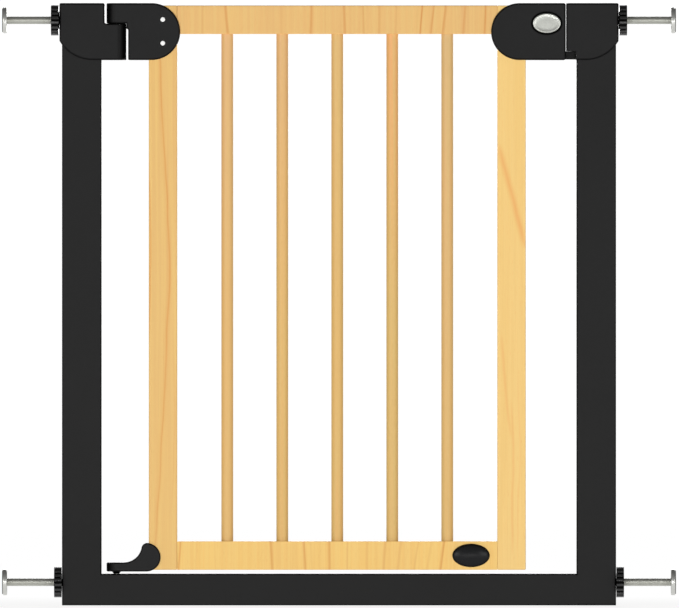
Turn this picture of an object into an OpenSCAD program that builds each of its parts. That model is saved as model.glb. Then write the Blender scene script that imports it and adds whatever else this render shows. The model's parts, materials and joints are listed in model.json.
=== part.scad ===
// Pressure-mounted safety gate for a doorway or stair opening.
// A black steel U-frame is clamped between two walls by four screw spindles.
// A light wood panel with five round bars swings in it, both ways, on two
// pivots on one vertical axis, and a sprung latch bolt holds it shut.
//
// Units are millimetres. X runs along the opening, +X towards the latch.
// Y runs through the opening, the front face looks towards -Y. Z is up.
// The origin is on the floor, in the middle of the frame.

/* [Frame] */
// Width of the steel U-frame over both posts
frame_w = 701; // [690:1:720]
// Height of the gate to the top of the brackets
frame_h = 762; // [740:1:820]
// Width of each post tube, seen from the front
post_w = 50; // [46:1:54]
// Depth of the steel tubes
tube_d = 20; // [20:1:22]
// Height of the base bar that one steps over
base_h = 40; // [36:1:40]
// Wall thickness of the steel tubes
tube_t = 1.5; // [1.2:0.1:2]
// Radius on the long edges of the steel tubes
tube_r = 2; // [1:0.5:2.5]

/* [Panel] */
// Width of the stiles and height of the rails
wood_w = 36; // [32:1:38]
// Thickness of the wood
wood_t = 20; // [18:1:20]
// Gap from the floor to the underside of the panel
panel_z = 45; // [44:0.5:48]
// Left face of the hinge-side stile
stile_left_x = -240.7; // [-241.5:0.1:-240]
// Left face of the latch-side stile
stile_right_x = 200.3; // [199.5:0.1:201]
// Diameter of the round bars
slat_d = 15; // [12:0.5:18]
// Number of round bars
slat_n = 5; // [5]
// Distance between bar centres
slat_pitch = 69.6; // [66:0.1:70]
// Middle bar's centre
slat_mid_x = -2.2; // [-4:0.1:0]
// Depth that each bar goes into its rails
tenon = 14; // [10:1:20]

/* [Brackets] */
// Depth of the plastic housings
house_d = 25; // [25:0.5:26]
// Height of the plastic housings
house_h = 72; // [72]
// Wall thickness of the housings
house_t = 2.5; // [2.5]
// Distance from the post's inner face to the hinge axis
hinge_in = 18.8; // [18:0.1:19]
// Radius of the upper hinge pin
hinge_pin_r = 4; // [3:0.5:5]
// Radial play between a pin and the bore that turns on it
play = 0.06; // [0.03:0.01:0.1]

/* [Latch] */
// Width of the oval release button
button_w = 35.8; // [30:0.1:36]
// Height of the oval release button
button_h = 25.4; // [22:0.1:26]
// How far the button is pressed
button_travel = 5; // [5]
// How far the bolt draws back for each millimetre of button travel
wedge_ratio = 1.5; // [1.5]
// Height of the bolt's nose
nose_h = 10.2; // [9:0.1:10.4]

/* [Spindles] */
// Nominal thread diameter of the spindles
rod_d = 10; // [10]
// Distance from the frame to the outer face of a wall pad
reach = 75.8; // [60:0.1:80]
// Diameter of the round wall discs
disc_d = 33; // [30:1:36]
// Outer diameter of the hand nuts
nut_d = 38.2; // [34:0.1:39]
// Number of finger grooves around a hand nut
nut_flutes = 18; // [12:1:20]
// Height of the upper spindles
spindle_top_z = 740.3; // [740:0.1:741]
// Height of the lower spindles
spindle_low_z = 29.2; // [28:0.1:30]

/* [Hidden] */
$fn = 96;
e = 0.01;

hw = frame_w / 2;                     // outer face of a post
post_in = hw - post_w;                // inner face of a post
hd = house_d / 2;                     // half depth of the housings
ht = tube_d / 2;                      // half depth of the tubes
wt = wood_t / 2;                      // half thickness of the wood
house_z = frame_h - house_h;          // underside of the housings
wrap = 3.2;                           // housing wall on a post's outer face
panel_top = frame_h - 3;              // top of the wooden panel
post_top = frame_h - 4;               // top of the post tubes
foot_t = 2;                           // lip of the plugs under the posts
hinge_x = -(post_in - hinge_in);      // the vertical hinge axis
stile_left_in = stile_left_x + wood_w;
round_r = house_h / 2;                // round ends of the panel's housings
round_z = house_z + round_r;
cap_cx = stile_left_in - 32.3;        // centre of the hinge cap's round end
cap_left = hinge_x + 14.9;            // the hinge cap's flat left face
handle_cx = stile_right_x + 28.2;     // centre of the handle's round end
handle_right = 286.75;                // the handle's right face
recv_left = 287.45;                   // the receiver's left face
notch_x = 299.7;                      // right side of the receiver's corner notch
tongue_top = 736.0;                   // top of the post's hinge tongue
tongue_low = 736.2;                   // underside of the panel's hinge tongue
arc_r = 48;                           // big corner radius of a post bracket
arc_x = 312;
arc_z = house_z + arc_r;
// height of the corner's centre above the point where the arc meets the outer wall
arc_drop = sqrt(pow(arc_r, 2) - pow(hw + wrap - arc_x, 2));
cav_x0 = stile_right_x + wood_w + 2.2; // the handle's cavity
cav_x1 = handle_right - 2;
btn_x = 262.8;                        // centre of the button
btn_z = 736.6;
nose_z = house_z + 0.8;               // underside of the bolt
nose_x = 299.3;                       // tip of the bolt
nose_y = 8;                           // half depth of the bolt
web_x = 293.5;                        // edge of the steel keeper
web_y = 1.5;                          // half thickness of the keeper
wedge_z = 722;                        // underside of the button's wedge
rod_in = hw - 10;                     // inner end of a spindle
disc_x = hw + reach - 6.1;            // inner face of a wall disc
pad_x = hw + reach - 1;               // outer face of the disc itself

steel_black = [0.17, 0.17, 0.17];
plastic_black = [0.15, 0.15, 0.15];
zinc = [0.75, 0.75, 0.73];
beech = [0.90, 0.74, 0.49];

// ---- helpers ----

// A box from its low corner to its high corner
module slab(a, b) translate(a) cube([b[0] - a[0], b[1] - a[1], b[2] - a[2]]);

// A front-view outline (X, Z) given depth from y0 to y1
module front_prism(y0, y1) rotate([90, 0, 0]) translate([0, 0, -y1])
    linear_extrude(height = y1 - y0) children();

// A plan outline (X, Y) from z0 to z1
module plan_prism(z0, z1) translate([0, 0, z0])
    linear_extrude(height = z1 - z0) children();

// A cylinder along X from x0 to x1
module xrod(x0, x1, y, z, r) translate([x0, y, z]) rotate([0, 90, 0])
    cylinder(r = r, h = x1 - x0);

// A cylinder along Y from y0 to y1
module yrod(y0, y1, x, z, r) translate([x, y0, z]) rotate([-90, 0, 0])
    cylinder(r = r, h = y1 - y0);

// A cylinder along Z from z0 to z1
module zrod(z0, z1, x, y, r) translate([x, y, z0]) cylinder(r = r, h = z1 - z0);

// A countersunk screw that enters from the rear: head flush at y = back
module rear_screw(x, z, back, tip, r) {
    yrod(tip, back - 2, x, z, r);
    translate([x, back - 2.2, z]) rotate([-90, 0, 0])
        cylinder(r1 = r, r2 = r + 2, h = 2);
}
// The seat that such a screw leaves in the shell
module rear_screw_seat(x, z, back, r) {
    yrod(-hd, back + 1, x, z, r);
    translate([x, back - 2.2, z]) rotate([-90, 0, 0])
        cylinder(r1 = r, r2 = r + 2, h = 2);
    yrod(back - 0.25, back + 1, x, z, r + 2);
}

// ---- steel frame ----

// Outline of a steel tube with rounded corners, centred on the origin
module tube_outline(w, d) {
    square([w - 2 * tube_r, d], center = true);
    square([w, d - 2 * tube_r], center = true);
    for (i = [-1, 1], j = [-1, 1])
        translate([i * (w / 2 - tube_r), j * (d / 2 - tube_r)]) circle(r = tube_r);
}
module post(side) {
    cx = side * (hw - post_w / 2);
    color(steel_black) difference() {
        union() {
            plan_prism(foot_t, post_top) translate([cx, 0]) tube_outline(post_w, tube_d);
            // square inner corners where the base bar is welded on
            slab([side < 0 ? -post_in - 5 : post_in, -ht, foot_t],
                 [side < 0 ? -post_in : post_in + 5, ht, base_h - tube_r]);
        }
        slab([cx - post_w / 2 + tube_t, -ht + tube_t, foot_t - 1],
             [cx + post_w / 2 - tube_t, ht - tube_t, post_top + 1]);
        for (z = [spindle_top_z, spindle_low_z])
            xrod(side < 0 ? -hw - 1 : hw - 3, side < 0 ? -hw + 3 : hw + 1, 0, z, 7);
        for (z = [frame_h - 10.5, house_z + 20]) yrod(-ht - 1, ht + 1, cx, z, 2.25);
    }
}
module left_post() post(-1);
module right_post() post(1);

module base_bar() color(steel_black) difference() {
    translate([-post_in, 0, base_h / 2]) rotate([90, 0, 90])
        linear_extrude(height = 2 * post_in) tube_outline(tube_d, base_h);
    slab([-post_in - 1, -ht + tube_t, tube_t], [post_in + 1, ht - tube_t, base_h - tube_t]);
    zrod(base_h - 3, base_h + 1, hinge_x, 0, 5);
}

module post_foot_plugs() color(plastic_black) for (s = [-1, 1]) {
    x0 = s < 0 ? -hw : post_in;
    union() {
        slab([x0, -ht, 0], [x0 + post_w, ht, foot_t]);
        difference() {
            slab([x0 + tube_t, -ht + tube_t, foot_t - e], [x0 + post_w - tube_t, ht - tube_t, 14]);
            slab([x0 + tube_t + 2, -ht + tube_t + 2, foot_t + 1],
                 [x0 + post_w - tube_t - 2, ht - tube_t - 2, 15]);
        }
    }
}

module pivot_bush() color(plastic_black) difference() {
    union() {
        zrod(26, base_h, hinge_x, 0, 5);
        zrod(base_h - tube_t - 2.5, base_h - tube_t, hinge_x, 0, 6.5);
    }
    zrod(25, base_h + 1, hinge_x, 0, 3 + play);
}

module spindle_bushes() color(plastic_black)
    for (s = [-1, 1], z = [spindle_top_z, spindle_low_z]) difference() {
        xrod(s < 0 ? -hw : hw - 12, s < 0 ? -hw + 12 : hw, 0, z, 7);
        xrod(s < 0 ? -hw - 1 : hw - 13, s < 0 ? -hw + 13 : hw + 1, 0, z, rod_d / 2 + play);
    }

// Front outline of a post bracket, on the left side
module bracket_outline(inner) {
    translate([-arc_x, house_z]) square([arc_x - inner, house_h]);
    translate([-hw - wrap, arc_z - arc_drop]) square([hw + wrap - arc_x + e, frame_h - arc_z + arc_drop]);
    intersection() {
        translate([-arc_x, arc_z]) circle(r = arc_r);
        translate([-hw - wrap, house_z]) square([hw + wrap - arc_x + e, arc_r]);
    }
}
// Room inside a post bracket for the post, the rod and the two screws
module bracket_room() {
    slab([-hw, -ht, house_z - 1], [-post_in, ht, post_top]);
    xrod(-hw - wrap - 1, -hw + 1, 0, spindle_top_z, rod_d / 2 + 0.5);
}
module screw_wells(side) for (z = [frame_h - 10.5, house_z + 20])
    rear_screw_seat(side * (hw - post_w / 2), z, hd, 2);

module hinge_bracket() difference() {
    union() {
        front_prism(-hd, hd) bracket_outline(post_in - 3.9);
        intersection() {
            plan_prism(house_z, tongue_top) {
                translate([hinge_x, 0]) circle(r = hd);
                translate([-post_in, -hd]) square([hinge_in, house_d]);
            }
            slab([-post_in - 1, -hd, house_z], [0, hd, tongue_top]);
        }
    }
    bracket_room();
    zrod(house_z + 10, tongue_top + 1, hinge_x, 0, hinge_pin_r);
}
// The front shell keeps blind holes for the screws, the rear one seats their heads
module hinge_bracket_front() color(plastic_black) difference() {
    intersection() { hinge_bracket(); slab([-400, -20, 600], [0, 0, 800]); }
    for (z = [frame_h - 10.5, house_z + 20]) yrod(-hd + 1.2, 1, -(hw - post_w / 2), z, 2);
}
module hinge_bracket_rear() color(plastic_black) difference() {
    intersection() { hinge_bracket(); slab([-400, 0, 600], [0, 20, 800]); }
    screw_wells(-1);
}

module receiver() difference() {
    mirror([1, 0, 0]) front_prism(-hd, hd) bracket_outline(recv_left);
    mirror([1, 0, 0]) bracket_room();
    // corner notch that the bolt shoots into, open to the front, rear and below
    slab([recv_left - 1, -hd - 1, house_z - 1], [notch_x, hd + 1, nose_z + nose_h + 0.3]);
    // slot that holds the steel keeper
    slab([web_x, -web_y, house_z - 1], [post_in, web_y, nose_z + 28]);
}
module receiver_front() color(plastic_black) difference() {
    intersection() { receiver(); slab([0, -20, 600], [400, 0, 800]); }
    for (z = [frame_h - 10.5, house_z + 20]) yrod(-hd + 1.2, 1, hw - post_w / 2, z, 2);
}
module receiver_rear() color(plastic_black) difference() {
    intersection() { receiver(); slab([0, 0, 600], [400, 20, 800]); }
    screw_wells(1);
}

module keeper_plate() color(zinc)
    slab([web_x, -web_y, house_z + 0.6], [post_in, web_y, nose_z + 28]);

module hinge_pin() color(zinc) union() {
    zrod(house_z + 10, frame_h - 6, hinge_x, 0, hinge_pin_r);
    translate([hinge_x, 0, frame_h - 6 - e])
        cylinder(r1 = hinge_pin_r, r2 = hinge_pin_r - 1, h = 1);
}

module bracket_screws() color(zinc) for (s = [-1, 1], z = [frame_h - 10.5, house_z + 20])
    union() rear_screw(s * (hw - post_w / 2), z, hd, -hd + 1.2, 2);

// ---- wooden panel ----

module stile(x) difference() {
    slab([x, -wt, panel_z], [x + wood_w, wt, panel_top]);
    dowel_holes();
}
module left_stile() color(beech) difference() {
    stile(stile_left_x);
    for (z = [round_z - 14.7, round_z + 15.2]) yrod(-wt - 1, wt + 1, cap_cx + 14, z, 2.2);
    for (z = [panel_z + 10, panel_z + 22]) yrod(-8, wt + 1, stile_left_x + 6, z, 1.6);
}
module right_stile() color(beech) difference() {
    stile(stile_right_x);
    for (z = [round_z - 15, round_z + 15]) yrod(-wt - 1, wt + 1, handle_cx - 10, z, 2);
}

module rail(z) difference() {
    slab([stile_left_in, -wt, z], [stile_right_x, wt, z + wood_w]);
    dowel_holes();
    for (i = [0 : slat_n - 1])
        zrod(z < 300 ? z + wood_w - tenon : z - 1, z < 300 ? z + wood_w + 1 : z + tenon,
             slat_mid_x + (i - (slat_n - 1) / 2) * slat_pitch, 0, slat_d / 2);
}
module top_rail() color(beech) rail(panel_top - wood_w);
module bottom_rail() color(beech) difference() {
    rail(panel_z);
    for (s = [-1, 1]) yrod(s < 0 ? -wt - 1 : wt - 8, s < 0 ? -wt + 8 : wt + 1,
                           bumper_x, bumper_z, 2.5);
}

module dowel(s, z) xrod(s < 0 ? stile_left_in - 20 : stile_right_x - 20,
                        s < 0 ? stile_left_in + 20 : stile_right_x + 20, 0, z, 4);
module each_dowel() for (s = [-1, 1],
    z = [panel_z + 9, panel_z + 27, panel_top - 27, panel_top - 9]) dowel(s, z);
module dowel_holes() each_dowel();
module rail_dowels() color(beech) each_dowel();

module slat(i) color(beech)
    zrod(panel_z + wood_w - tenon, panel_top - wood_w + tenon,
         slat_mid_x + (i - (slat_n + 1) / 2) * slat_pitch, 0, slat_d / 2);
module slat_1() slat(1);
module slat_2() slat(2);
module slat_3() slat(3);
module slat_4() slat(4);
module slat_5() slat(5);

// ---- hinge cap on the panel ----

module hinge_cap() difference() {
    union() {
        front_prism(-hd, hd) {
            translate([cap_left, house_z]) square([cap_cx - cap_left, house_h]);
            intersection() {
                translate([cap_cx, round_z]) circle(r = round_r);
                translate([cap_left, house_z - 1]) square([100, house_h + 2]);
            }
        }
        plan_prism(tongue_low, frame_h) {
            translate([hinge_x, 0]) circle(r = hd);
            translate([hinge_x, -hd]) square([cap_left - hinge_x + 1, house_d]);
        }
        // shoulder under the tongue, just clear of the post's tongue
        slab([cap_left - 2.2, -hd, tongue_low - 6.5], [cap_left + 1, hd, tongue_low + 1]);
    }
    slab([stile_left_x, -wt, house_z - 1], [cap_cx + round_r + 1, wt, panel_top - wood_w]);
    slab([stile_left_x, -wt, panel_top - wood_w - e], [cap_cx + round_r + 1, wt, panel_top]);
    slab([cap_left + 2.5, -hd + 2.5, house_z + 2.5], [stile_left_x - 2, hd - 2.5, tongue_low - 2.5]);
    zrod(tongue_low - 1, frame_h - 4.5, hinge_x, 0, hinge_pin_r + play);
    for (z = [round_z - 14.7, round_z + 15.2]) yrod(-hd - 1, hd + 1, cap_cx + 14, z, 2.2);
}
module hinge_cap_front() color(plastic_black)
    intersection() { hinge_cap(); slab([-400, -20, 600], [0, 0, 800]); }
module hinge_cap_rear() color(plastic_black)
    intersection() { hinge_cap(); slab([-400, 0, 600], [0, 20, 800]); }

module cap_rivets() color([0.96, 0.96, 0.95])
    for (z = [round_z - 14.7, round_z + 15.2]) union() {
        yrod(-hd, hd, cap_cx + 14, z, 2.2);
        for (s = [-1, 1]) {
            yrod(s < 0 ? -hd - 0.7 : hd, s < 0 ? -hd : hd + 0.7, cap_cx + 14, z, 2.9);
            translate([cap_cx + 14, s * (hd + 0.7), z]) rotate([s < 0 ? 90 : -90, 0, 0])
                cylinder(r1 = 2.9, r2 = 1.9, h = 0.6);
        }
    }

// ---- lower pivot on the panel ----

blob_x = stile_left_x - 3.2;
blob_z = panel_z + 15.9;
blob_r = 18.1;
arm_top = panel_z + 9.3;
// small shoulder that runs into the round plate at its top
shoulder_r = 7.2;
lean = 6;
shoulder_x = blob_x + (blob_r - shoulder_r) * sin(lean);
shoulder_z = blob_z + (blob_r - shoulder_r) * cos(lean);
meet_x = blob_x + blob_r * sin(lean);
// hollow neck, tangent to the arm and to the shoulder
neck_r = 22.9;
neck_z = arm_top + neck_r;
neck_x = shoulder_x - sqrt(pow(neck_r + shoulder_r, 2) - pow(neck_z - shoulder_z, 2));
touch_z = neck_z - neck_r * (neck_z - shoulder_z) / (neck_r + shoulder_r);
module foot_arm() color(plastic_black) difference() {
    union() {
        front_prism(-hd, hd) {
            // round right side of the plate
            intersection() {
                translate([blob_x, blob_z]) circle(r = blob_r);
                union() {
                    translate([blob_x, blob_z - blob_r - 1]) square([blob_r + 1, blob_r + 1]);
                    translate([meet_x, blob_z]) square([blob_r + 1, blob_r + 1]);
                }
            }
            // arm, with a hollow neck that sweeps up to the shoulder
            difference() {
                union() {
                    translate([hinge_x, panel_z - 2.2])
                        square([blob_x - hinge_x, touch_z - panel_z + 2.2]);
                    translate([blob_x, blob_z]) square([meet_x - blob_x, touch_z - blob_z]);
                }
                translate([neck_x, neck_z]) circle(r = neck_r);
                translate([hinge_x - 1, arm_top]) square([neck_x - hinge_x + 1, 30]);
            }
            translate([shoulder_x, shoulder_z]) circle(r = shoulder_r);
        }
        plan_prism(panel_z - 2.2, arm_top) {
            translate([hinge_x, 0]) circle(r = hd);
        }
        // boss that stands on the bush in the base bar
        translate([hinge_x, 0, base_h + 0.15])
            cylinder(r1 = 3.6, r2 = 5.6, h = panel_z - 2.2 - base_h - 0.15 + e);
    }
    // pocket for the stile's lower corner
    slab([stile_left_x, -wt, panel_z], [0, wt, 200]);
    zrod(base_h, panel_z + 7, hinge_x, 0, 3);
    for (z = [panel_z + 10, panel_z + 22]) rear_seat_small(stile_left_x + 6, z);
}
module rear_seat_small(x, z) {
    yrod(wt - 1, hd + 1, x, z, 1.6);
    translate([x, hd - 1.9, z]) rotate([-90, 0, 0]) cylinder(r1 = 1.6, r2 = 3.4, h = 2);
}
module foot_arm_screws() color(zinc) for (z = [panel_z + 10, panel_z + 22]) union() {
    yrod(-8, hd - 1.5, stile_left_x + 6, z, 1.6);
    translate([stile_left_x + 6, hd - 1.9, z]) rotate([-90, 0, 0])
        cylinder(r1 = 1.6, r2 = 3.31, h = 1.9);
}
module pivot_pin() color(zinc) union() {
    zrod(28, panel_z + 7, hinge_x, 0, 3);
    translate([hinge_x, 0, 27]) cylinder(r1 = 2, r2 = 3, h = 1 + e);
}

// ---- handle and latch on the panel ----

module handle_outline() {
    translate([handle_cx, round_z]) circle(r = round_r);
    translate([handle_cx, house_z]) square([handle_right - 2.5 - handle_cx, house_h]);
    translate([handle_cx, house_z + 2.5]) square([handle_right - handle_cx, house_h - 5]);
    for (z = [house_z + 2.5, frame_h - 2.5]) translate([handle_right - 2.5, z]) circle(r = 2.5);
}
module handle() difference() {
    front_prism(-hd, hd) handle_outline();
    slab([stile_right_x, -wt, house_z - 1], [stile_right_x + wood_w, wt, panel_top]);
    slab([handle_cx - round_r - 1, -wt, panel_top - wood_w], [stile_right_x + e, wt, panel_top]);
    slab([handle_cx - round_r - 1, -wt, house_z - 1], [stile_right_x + e, wt, panel_top - wood_w + e]);
    difference() {
        slab([cav_x0, -wt, house_z + house_t], [cav_x1, wt, frame_h - house_t]);
        for (p = handle_bosses) yrod(-wt - 1, wt + 1, p[0], p[1], 3.6);
    }
    // the bolt runs in a slot that is open to the right and below
    slab([249.5, -nose_y - 0.4, house_z - 1], [handle_right + 1, nose_y + 0.4, nose_z + nose_h + 0.4]);
}
handle_bosses = [[279.4, frame_h - 6.4], [243.2, house_z + 18]];
stile_screws = [[handle_cx - 10, round_z - 15], [handle_cx - 10, round_z + 15]];

module handle_front() color(plastic_black) difference() {
    intersection() { handle(); slab([0, -20, 600], [400, 0, 800]); }
    front_prism(-hd - 1, -wt + 1) translate([btn_x, btn_z])
        scale([(button_w + 0.8) / 2, (button_h + 0.8) / 2]) circle(r = 1);
    for (p = concat(handle_bosses, stile_screws)) yrod(-hd + 1.2, 1, p[0], p[1], 2);
}
module handle_rear() color(plastic_black) difference() {
    intersection() { handle(); slab([0, 0, 600], [400, 20, 800]); }
    for (p = concat(handle_bosses, stile_screws)) rear_screw_seat(p[0], p[1], hd, 2);
    // seat of the button's spring
    yrod(wt - 1, wt + 1, btn_x, btn_z + 6, 5.5);
}
module handle_screws() color(zinc) for (p = concat(handle_bosses, stile_screws))
    union() rear_screw(p[0], p[1], hd, -hd + 1.2, 2);

module release_button() color([0.77, 0.78, 0.76]) union() {
    // oval cap, standing a little proud of the handle
    front_prism(-hd - 1.6, -wt + 0.6) translate([btn_x, btn_z])
        scale([button_w / 2, button_h / 2]) circle(r = 1);
    front_prism(-hd - 2.4, -hd - 1.6 + e) translate([btn_x, btn_z])
        scale([button_w / 2 - 1, button_h / 2 - 1]) circle(r = 1);
    // flange that keeps it in the handle
    front_prism(-wt + 0.6 - e, -wt + 2) translate([btn_x, btn_z])
        scale([button_w / 2 + 1.6, button_h / 2 + 0.2]) circle(r = 1);
    // wedge that draws the bolt back
    plan_prism(wedge_z, wedge_z + 7) polygon([
        [wedge_face(-wt + 1), -wt + 1], [278, -wt + 1], [278, 4], [wedge_face(4), 4]]);
    // pip that centres the spring
    yrod(-wt + 1, -wt + 4, btn_x, btn_z + 6, 3.2);
}
// X of the wedge's sloping face at a given depth
function wedge_face(y) = 276 + wedge_ratio * (y - 4);

module latch_bolt() color(plastic_black) difference() {
    union() {
        slab([258, -nose_y, nose_z], [nose_x, nose_y, nose_z + nose_h]);
        slab([258, 2, nose_z], [266, 7, wedge_z + 6]);
        plan_prism(wedge_z + 0.5, wedge_z + 6.5) polygon([
            [258, -2], [wedge_face(-2) - 0.6, -2], [wedge_face(7) - 0.6, 7], [258, 7]]);
    }
    // fork that closes over the steel keeper
    slab([web_x - 1, -web_y - 0.35, nose_z - 1], [nose_x + 1, web_y + 0.35, nose_z + nose_h + 1]);
}

// ---- springs, as round wire wound around a straight axis ----

spring_sides = 6;
spring_steps = 14;
// One ring of points around the wire, at turn t of a coil along +Z
function coil_ring(r, wire, pitch, t) = [for (k = [0 : spring_sides - 1])
    let (a = 360 * t, b = 360 * k / spring_sides, q = r + wire * cos(b))
    [q * cos(a), q * sin(a), pitch * t + wire * sin(b)]];
module coil(r, wire, length, turns) {
    n = turns * spring_steps;
    pitch = (length - 2 * wire) / turns;
    rings = [for (i = [0 : n]) coil_ring(r, wire, pitch, i / spring_steps)];
    pts = [for (g = rings, p = g) p];
    m = spring_sides;
    sides = [for (i = [0 : n - 1], k = [0 : m - 1])
        [i * m + k, i * m + (k + 1) % m, (i + 1) * m + (k + 1) % m, (i + 1) * m + k]];
    caps = [[for (k = [m - 1 : -1 : 0]) k], [for (k = [0 : m - 1]) n * m + k]];
    translate([0, 0, wire]) polyhedron(points = pts, faces = concat(caps,
        [for (s = sides) [s[0], s[1], s[2]]], [for (s = sides) [s[0], s[2], s[3]]]), convexity = 8);
}
module button_spring() color(zinc) translate([btn_x, -wt + 2, btn_z + 6])
    rotate([-90, 0, 0]) coil(4.2, 0.5, 2 * wt - 1, 7);
module bolt_spring() color(zinc) translate([cav_x0, 0, nose_z + 5.1])
    rotate([0, 90, 0]) coil(3, 0.4, 258 - cav_x0, 8);

// ---- bumpers on the bottom rail ----

bumper_x = 167;
bumper_z = panel_z + 18.2;
// A shallow oval dome with a peg into the rail
module bumper(s) color(plastic_black) union() {
    translate([bumper_x, s * wt, bumper_z]) intersection() {
        scale([23.7, 6, 14.85]) sphere(r = 1);
        slab([-30, s < 0 ? -10 : 0, -20], [30, s < 0 ? 0 : 10, 20]);
    }
    yrod(s < 0 ? -wt - 1 : wt - 8, s < 0 ? -wt + 8 : wt + 1, bumper_x, bumper_z, 2.5);
}
module front_bumper() bumper(-1);
module rear_bumper() bumper(1);

// ---- spindles, one at each corner; side is -1 for left, 1 for right ----

module at_side(side) mirror([side < 0 ? 1 : 0, 0, 0]) children();

module spindle(side, z) color(zinc) at_side(side) union() {
    xrod(rod_in, disc_x + 3, 0, z, rod_d / 2);
    translate([rod_in - 1, 0, z]) rotate([0, 90, 0])
        cylinder(r1 = rod_d / 2 - 1, r2 = rod_d / 2, h = 1 + e);
}
module wall_disc(side, z) color(zinc) at_side(side) translate([disc_x, 0, z]) rotate([0, 90, 0])
    difference() {
        rotate_extrude() {
            square([disc_d / 2 - 1.5, 5.1]);
            translate([0, 1.5]) square([disc_d / 2, 2.1]);
            for (y = [1.5, 3.6]) translate([disc_d / 2 - 1.5, y]) circle(r = 1.5);
        }
        translate([0, 0, -1]) cylinder(r = rod_d / 2, h = 4);
    }
module wall_pad(side, z) color([0.45, 0.45, 0.44]) at_side(side)
    xrod(pad_x, pad_x + 1, 0, z, disc_d / 2 - 1.5);

// The hand nut turns on the rod and pushes against the frame at x = seat
module hand_nut(side, z, seat, wheel, wheel_t, hub_r) color(plastic_black) at_side(side)
    translate([0, 0, z]) difference() {
        union() {
            xrod(seat, wheel + 1, 0, 0, hub_r);
            translate([wheel, 0, 0]) rotate([0, 90, 0]) difference() {
                cylinder(r = nut_d / 2, h = wheel_t);
                for (i = [0 : nut_flutes - 1]) rotate([0, 0, (i + 0.5) * 360 / nut_flutes])
                    translate([nut_d / 2 + 0.7, 0, -1]) cylinder(r = 2, h = wheel_t + 2);
                // dished outer face around the rod
                translate([0, 0, wheel_t - 1.5]) difference() {
                    cylinder(r = nut_d / 2 - 4, h = 3);
                    translate([0, 0, -1]) cylinder(r = 7.5, h = 5);
                }
            }
        }
        xrod(seat - 1, wheel + wheel_t + 1, 0, 0, rod_d / 2 + play);
    }
module top_nut(side) hand_nut(side, spindle_top_z, hw + wrap + 0.3, 355, 9.5, 11);
module low_nut(side) hand_nut(side, spindle_low_z, hw + 0.3, 351.1, 9.4, 11);

module spindle_top_left() spindle(-1, spindle_top_z);
module wall_disc_top_left() wall_disc(-1, spindle_top_z);
module wall_pad_top_left() wall_pad(-1, spindle_top_z);
module hand_nut_top_left() top_nut(-1);
module spindle_top_right() spindle(1, spindle_top_z);
module wall_disc_top_right() wall_disc(1, spindle_top_z);
module wall_pad_top_right() wall_pad(1, spindle_top_z);
module hand_nut_top_right() top_nut(1);
module spindle_low_left() spindle(-1, spindle_low_z);
module wall_disc_low_left() wall_disc(-1, spindle_low_z);
module wall_pad_low_left() wall_pad(-1, spindle_low_z);
module hand_nut_low_left() low_nut(-1);
module spindle_low_right() spindle(1, spindle_low_z);
module wall_disc_low_right() wall_disc(1, spindle_low_z);
module wall_pad_low_right() wall_pad(1, spindle_low_z);
module hand_nut_low_right() low_nut(1);

// ---- output ----

left_post();
right_post();
base_bar();
post_foot_plugs();
pivot_bush();
spindle_bushes();
hinge_bracket_front();
hinge_bracket_rear();
receiver_front();
receiver_rear();
keeper_plate();
hinge_pin();
bracket_screws();
left_stile();
right_stile();
top_rail();
bottom_rail();
slat_1();
slat_2();
slat_3();
slat_4();
slat_5();
rail_dowels();
hinge_cap_front();
hinge_cap_rear();
cap_rivets();
foot_arm();
foot_arm_screws();
pivot_pin();
handle_front();
handle_rear();
handle_screws();
front_bumper();
rear_bumper();
release_button();
button_spring();
latch_bolt();
bolt_spring();
spindle_top_left();
wall_disc_top_left();
wall_pad_top_left();
hand_nut_top_left();
spindle_top_right();
wall_disc_top_right();
wall_pad_top_right();
hand_nut_top_right();
spindle_low_left();
wall_disc_low_left();
wall_pad_low_left();
hand_nut_low_left();
spindle_low_right();
wall_disc_low_right();
wall_pad_low_right();
hand_nut_low_right();
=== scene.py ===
import json
import math

import bmesh
import bpy
from mathutils import Matrix, Vector


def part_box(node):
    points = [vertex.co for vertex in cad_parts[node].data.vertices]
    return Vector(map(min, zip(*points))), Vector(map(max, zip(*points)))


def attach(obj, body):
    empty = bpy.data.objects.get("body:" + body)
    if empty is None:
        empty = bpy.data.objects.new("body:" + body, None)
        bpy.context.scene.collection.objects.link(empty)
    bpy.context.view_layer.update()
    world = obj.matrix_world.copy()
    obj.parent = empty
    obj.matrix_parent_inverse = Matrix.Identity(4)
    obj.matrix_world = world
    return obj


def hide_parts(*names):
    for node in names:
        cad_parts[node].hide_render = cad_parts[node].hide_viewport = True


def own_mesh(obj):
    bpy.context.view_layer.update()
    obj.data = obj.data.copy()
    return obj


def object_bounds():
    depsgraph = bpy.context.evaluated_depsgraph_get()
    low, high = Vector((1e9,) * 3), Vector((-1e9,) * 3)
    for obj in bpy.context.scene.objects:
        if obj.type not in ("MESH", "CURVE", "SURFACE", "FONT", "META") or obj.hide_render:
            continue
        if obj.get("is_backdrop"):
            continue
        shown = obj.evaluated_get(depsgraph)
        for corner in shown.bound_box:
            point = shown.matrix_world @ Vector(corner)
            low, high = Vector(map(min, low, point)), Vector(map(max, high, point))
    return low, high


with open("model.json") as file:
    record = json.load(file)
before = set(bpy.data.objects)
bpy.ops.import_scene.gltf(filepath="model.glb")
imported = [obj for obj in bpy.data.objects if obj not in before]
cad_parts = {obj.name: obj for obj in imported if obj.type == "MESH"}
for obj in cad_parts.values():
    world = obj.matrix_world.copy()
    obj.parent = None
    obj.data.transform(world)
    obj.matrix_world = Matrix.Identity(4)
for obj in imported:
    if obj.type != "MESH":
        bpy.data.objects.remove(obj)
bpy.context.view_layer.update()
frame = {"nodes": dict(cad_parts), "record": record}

NODES = frame["nodes"]
MM = 0.001


# ---------------------------------------------------------------- materials

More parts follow.
